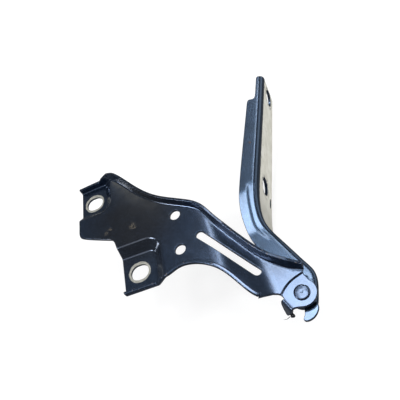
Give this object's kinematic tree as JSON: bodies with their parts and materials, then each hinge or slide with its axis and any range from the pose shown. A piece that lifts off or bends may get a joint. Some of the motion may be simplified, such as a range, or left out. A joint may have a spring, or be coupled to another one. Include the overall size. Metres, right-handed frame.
{
  "type": "bonnet hinge",
  "caption": "Car bonnet hinge: a pressed body bracket with slotted mounting pads, and a cranked L-section bonnet arm that swings on a riveted pivot up to a stop tab.",
  "frame": {"origin": "centre of the lower body bolt slot, on the face that sits against the vehicle body", "axes": "+Z along the pivot axis, from the vehicle body towards the rivet head; +X towards the free end of the arm; body slots run along Y"},
  "size_m": [0.2373, 0.1822, 0.0623],
  "materials": {
    "bracket_paint": "dark blue metallic paint, gloss, with bare bolt prints",
    "arm_paint": "dark blue metallic paint, with a bare primer face towards the bonnet",
    "rivet_paint": "dark blue metallic paint over a formed rivet head",
    "bush_bronze": "plain sintered bronze",
    "washer_plastic": "dark moulded acetal",
    "washer_steel": "zinc plated"
  },
  "bodies": {
    "bracket": {"body_bracket": "bracket_paint", "pivot_rivet": "rivet_paint", "thrust_washer": "washer_plastic", "backing_washer": "washer_steel"},
    "arm": {"bonnet_arm": "arm_paint", "pivot_bush": "bush_bronze"}
  },
  "joints": [
    {"name": "arm_pivot", "type": "hinge", "parent": "bracket", "child": "arm", "pos_m": [-0.0555, -0.1105, -0.00515], "axis": [0, 0, 1], "range_deg": [-32, 55]}
  ]
}
